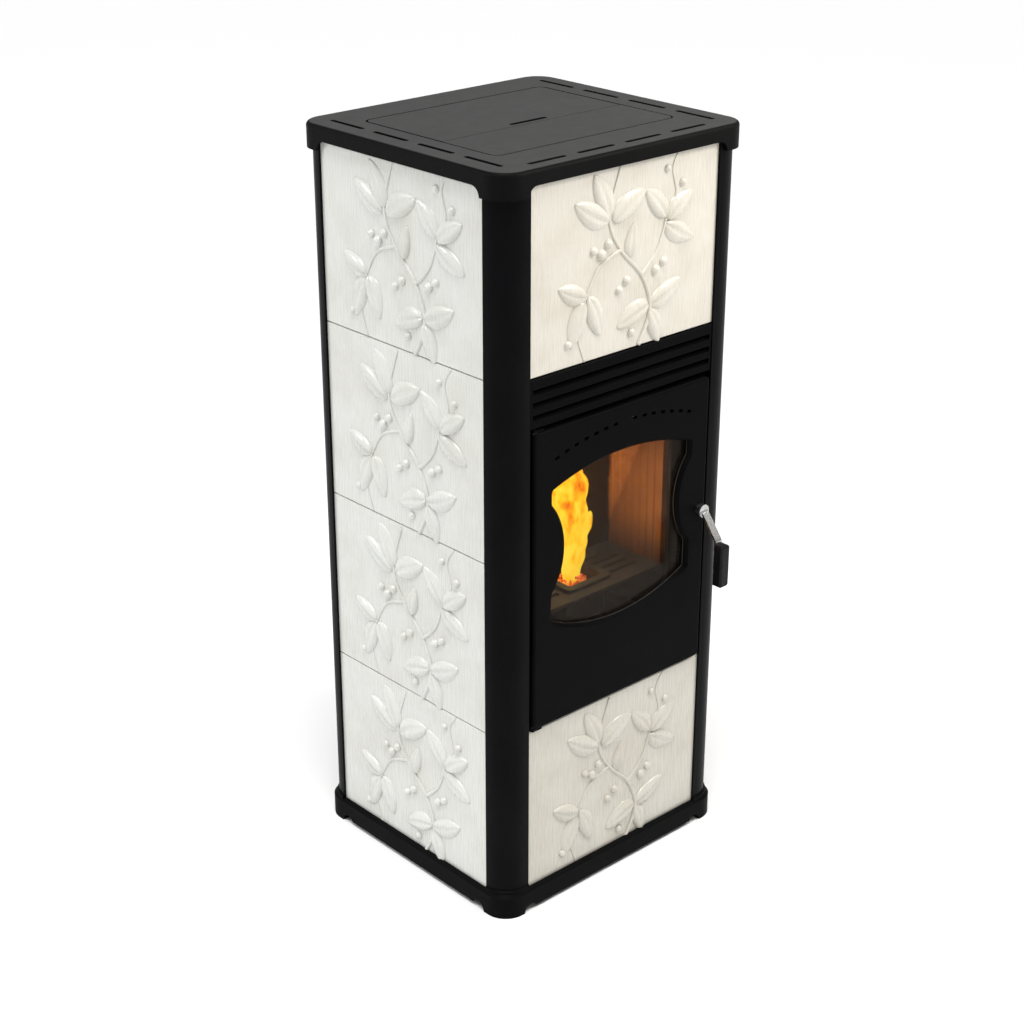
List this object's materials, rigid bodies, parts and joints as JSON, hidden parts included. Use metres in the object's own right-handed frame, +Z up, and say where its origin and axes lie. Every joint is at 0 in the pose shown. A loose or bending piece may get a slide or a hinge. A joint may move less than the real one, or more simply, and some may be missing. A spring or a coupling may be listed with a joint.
{
  "type": "hydronic pellet stove",
  "caption": "Upright tiled pellet stove that heats water: glazed tiles between black corner posts, arched glass door, louvre, hopper lid on top, boiler and feed inside.",
  "frame": {"origin": "on the floor, under the middle of the casing", "axes": "+Z up, -Y towards the front (the door), +X to the right seen from the front; the door's hinge is on the left"},
  "size_m": [0.51, 0.59, 1.234],
  "materials": {
    "plinth_black": "matt black stove enamel",
    "cap_grey": "matt dark grey stove enamel",
    "post_black": "satin black enamel",
    "door_black": "matt black stove enamel",
    "panel_black": "matt black powder coat",
    "glazed_tile": "glossy off-white glaze",
    "galvanised_sheet": "galvanised",
    "boiler_steel": "heat-resistant paint",
    "pin_steel": "turned",
    "handle_steel": "brushed stainless",
    "grip_black": "fine grained",
    "fire_glass": "clear, slightly smoked",
    "gasket_rope": "braided glass fibre",
    "lining_board": "fired vermiculite",
    "pot_iron": "bare casting",
    "motor_grey": "painted",
    "pump_red": "painted",
    "vessel_red": "powder coat",
    "copper_pipe": "bare copper",
    "fitting_brass": "bare brass",
    "case_grey": "moulded",
    "knob_red": "moulded"
  },
  "bodies": {
    "root": {"base_plinth": "plinth_black", "floor_pan": "galvanised_sheet", "post_front_left": "post_black", "post_front_right": "post_black", "post_rear_left": "post_black", "post_rear_right": "post_black", "top_cap": "cap_grey", "lid_pins": "pin_steel", "tiles_left": "glazed_tile", "tiles_right": "glazed_tile", "tile_front_top": "glazed_tile", "tile_front_bottom": "glazed_tile", "side_panel_left": "galvanised_sheet", "side_panel_right": "galvanised_sheet", "rear_panel": "panel_black", "louvre_grille": "door_black", "door_frame": "door_black", "hinge_brackets": "door_black", "hinge_pins": "pin_steel", "boiler_body": "boiler_steel", "smoke_tubes": "boiler_steel", "smoke_cover": "galvanised_sheet", "fire_lining": "lining_board", "hearth_plate": "pot_iron", "igniter": "pin_steel", "boiler_stand": "panel_black", "pellet_hopper": "galvanised_sheet", "pellet_chute": "boiler_steel", "auger_tube": "boiler_steel", "auger_gearmotor": "motor_grey", "smoke_duct": "boiler_steel", "fan_housing": "boiler_steel", "fan_motor": "motor_grey", "flue_spigot": "panel_black", "air_intake_pipe": "galvanised_sheet", "circulation_pump": "pump_red", "expansion_vessel": "vessel_red", "water_pipes": "copper_pipe", "rear_fittings": "fitting_brass", "control_board": "case_grey", "mains_inlet": "grip_black", "reset_bush": "grip_black", "safety_valve": "fitting_brass"},
    "door": {"door_casting": "door_black", "door_glass": "fire_glass", "glass_gasket": "gasket_rope", "glass_clips": "pin_steel", "door_gasket": "gasket_rope"},
    "handle": {"handle_lever": "handle_steel", "handle_grip": "grip_black", "latch_tongue": "pin_steel"},
    "lid": {"hopper_lid": "cap_grey"},
    "ash_drawer": {"ash_drawer": "galvanised_sheet"},
    "burn_pot": {"burn_pot": "pot_iron"},
    "flame_baffle": {"flame_baffle": "lining_board"},
    "auger": {"auger_screw": "pin_steel"},
    "fan": {"fan_wheel": "pin_steel"},
    "rocker": {"mains_rocker": "grip_black"},
    "reset": {"reset_button": "grip_black"},
    "valve_knob": {"safety_valve_knob": "knob_red"}
  },
  "joints": [
    {"name": "door_hinge", "type": "hinge", "parent": "root", "child": "door", "pos_m": [-0.184, -0.225, 0.585], "axis": [0, 0, -1], "range_deg": [0, 110]},
    {"name": "handle_turn", "type": "hinge", "parent": "door", "child": "handle", "pos_m": [0.178, -0.234, 0.607], "axis": [0, -1, 0], "range_deg": [0, 80]},
    {"name": "lid_hinge", "type": "hinge", "parent": "root", "child": "lid", "pos_m": [0, 0.1475, 1.228], "axis": [-1, 0, 0], "range_deg": [0, 80]},
    {"name": "ash_drawer_slide", "type": "slide", "parent": "root", "child": "ash_drawer", "axis": [0, -1, 0], "range_m": [0, 0.12]},
    {"name": "burn_pot_lift", "type": "slide", "parent": "root", "child": "burn_pot", "axis": [0, 0, 1], "range_m": [0, 0.06]},
    {"name": "flame_baffle_lift", "type": "slide", "parent": "root", "child": "flame_baffle", "axis": [0, 0, 1], "range_m": [0, 0.015]},
    {"name": "auger_spin", "type": "hinge", "parent": "root", "child": "auger", "pos_m": [0, 0.15, 0.455], "axis": [0, -0.507, 0.8619], "continuous": true},
    {"name": "fan_spin", "type": "hinge", "parent": "root", "child": "fan", "pos_m": [0.098, 0.118, 0.185], "axis": [1, 0, 0], "continuous": true},
    {"name": "mains_rocker_tilt", "type": "hinge", "parent": "root", "child": "rocker", "pos_m": [0.165, 0.2135, 0.346], "axis": [-1, 0, 0], "range_deg": [0, 14]},
    {"name": "reset_button_push", "type": "slide", "parent": "root", "child": "reset", "axis": [0, -1, 0], "range_m": [0, 0.0025], "stiffness_N_per_m": 200, "springref_m": -0.001},
    {"name": "safety_valve_turn", "type": "hinge", "parent": "root", "child": "valve_knob", "pos_m": [-0.05, 0.03, 0.358], "axis": [0, 0, 1], "range_deg": [0, 90]}
  ],
  "couplings": [
    {"joint": "ash_drawer_slide", "follows": "door_hinge", "m_per_rad": 0.0625}
  ]
}
